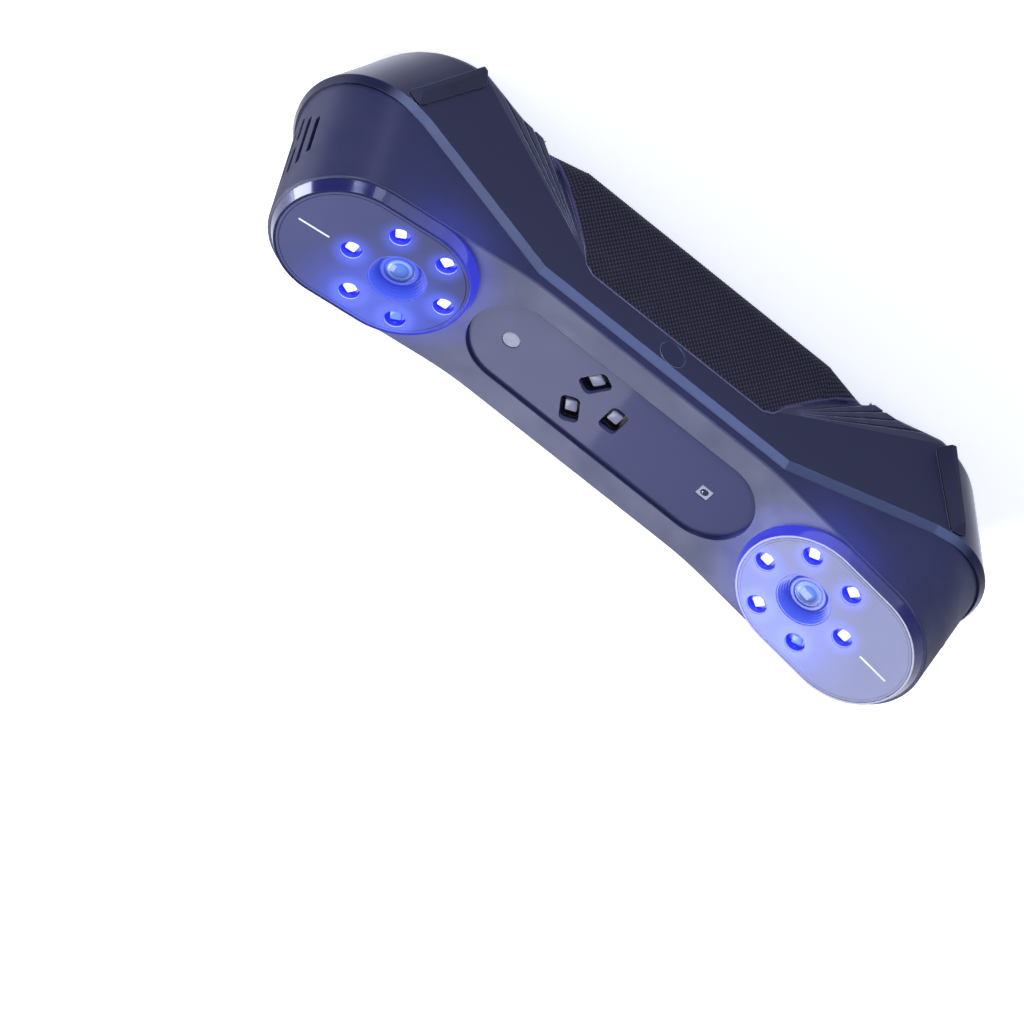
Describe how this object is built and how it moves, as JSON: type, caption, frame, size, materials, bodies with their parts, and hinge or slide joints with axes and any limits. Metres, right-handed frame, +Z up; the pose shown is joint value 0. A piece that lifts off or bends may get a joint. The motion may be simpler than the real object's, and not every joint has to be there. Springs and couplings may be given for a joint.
{
  "type": "hand-held 3D scanner",
  "caption": "Hand-held structured-light scanner: two toed-in camera pods with lamp rings, a projector panel between them, a dimpled hand grip behind and a round finger button.",
  "frame": {"origin": "on the table under the middle of the scanner, which lies on its two lobe backs with the lenses up", "axes": "+X along the scanner towards the vented end, +Y away from the button, +Z up, the way the middle panel looks"},
  "size_m": [0.215, 0.0512, 0.0651],
  "materials": {
    "back_shell": "fine matt, dark navy",
    "front_shell": "satin, navy",
    "grip": "soft, dimpled",
    "pads": "matt",
    "bezels": "polished",
    "pod_windows": "gloss, bluish grey",
    "baffles": "black, stepped",
    "lens_metal": "black anodised",
    "optics": "coated",
    "black_plastic": "black",
    "sensors": "dark glass face",
    "boards": "green solder mask",
    "lamps": "lit blue-white",
    "lamp_lenses": "blue",
    "panel": "smoked",
    "metal": "machined",
    "lasers": "turned",
    "laser_optics": "silvery",
    "round_sensor": "milky",
    "screws": "zinc plated",
    "small_brass": "turned",
    "chips": "moulded",
    "thermal": "soft",
    "ribbons": "amber film",
    "button": "fine matt",
    "mesh": "blackened mesh"
  },
  "bodies": {
    "housing": {"back_shell": "back_shell", "bezel_left": "bezels", "bezel_right": "bezels", "board_chips": "chips", "board_screws": "screws", "board_spacers": "small_brass", "button_board": "boards", "button_switch": "black_plastic", "cable_socket": "screws", "camera_board_left": "boards", "camera_board_right": "boards", "camera_ribbon_left": "ribbons", "camera_ribbon_right": "ribbons", "camera_screws_left": "screws", "camera_screws_right": "screws", "centre_window": "panel", "colour_camera": "sensors", "colour_camera_lens": "optics", "emitter_block": "lens_metal", "emitter_screws": "screws", "front_shell": "front_shell", "grip_sleeve": "grip", "heat_sink": "metal", "housing_screws": "screws", "image_sensor_left": "sensors", "image_sensor_right": "sensors", "lamp_board_left": "boards", "lamp_board_right": "boards", "lamp_lenses_left": "lamp_lenses", "lamp_lenses_right": "lamp_lenses", "lamps_left": "lamps", "lamps_right": "lamps", "laser_lenses": "laser_optics", "laser_modules": "lasers", "lens_baffle_left": "baffles", "lens_baffle_right": "baffles", "lens_barrel_left": "lens_metal", "lens_barrel_right": "lens_metal", "lens_glass_left": "optics", "lens_glass_right": "optics", "lens_holder_left": "black_plastic", "lens_holder_right": "black_plastic", "main_board": "boards", "optical_bench": "metal", "pad_left_button_side": "pads", "pad_left_plain_side": "pads", "pad_right_button_side": "pads", "pad_right_plain_side": "pads", "panel_board": "boards", "pod_window_left": "pod_windows", "pod_window_right": "pod_windows", "processor": "chips", "round_sensor": "round_sensor", "socket_board": "boards", "socket_screws": "screws", "thermal_pad": "thermal", "vent_screen": "mesh"},
    "button": {"round_button": "button"}
  },
  "joints": [
    {"name": "button_press", "type": "slide", "parent": "housing", "child": "button", "axis": [0, 1, 0], "range_m": [0, 0.0005], "stiffness_N_per_m": 2500, "springref_m": -0.0003}
  ]
}
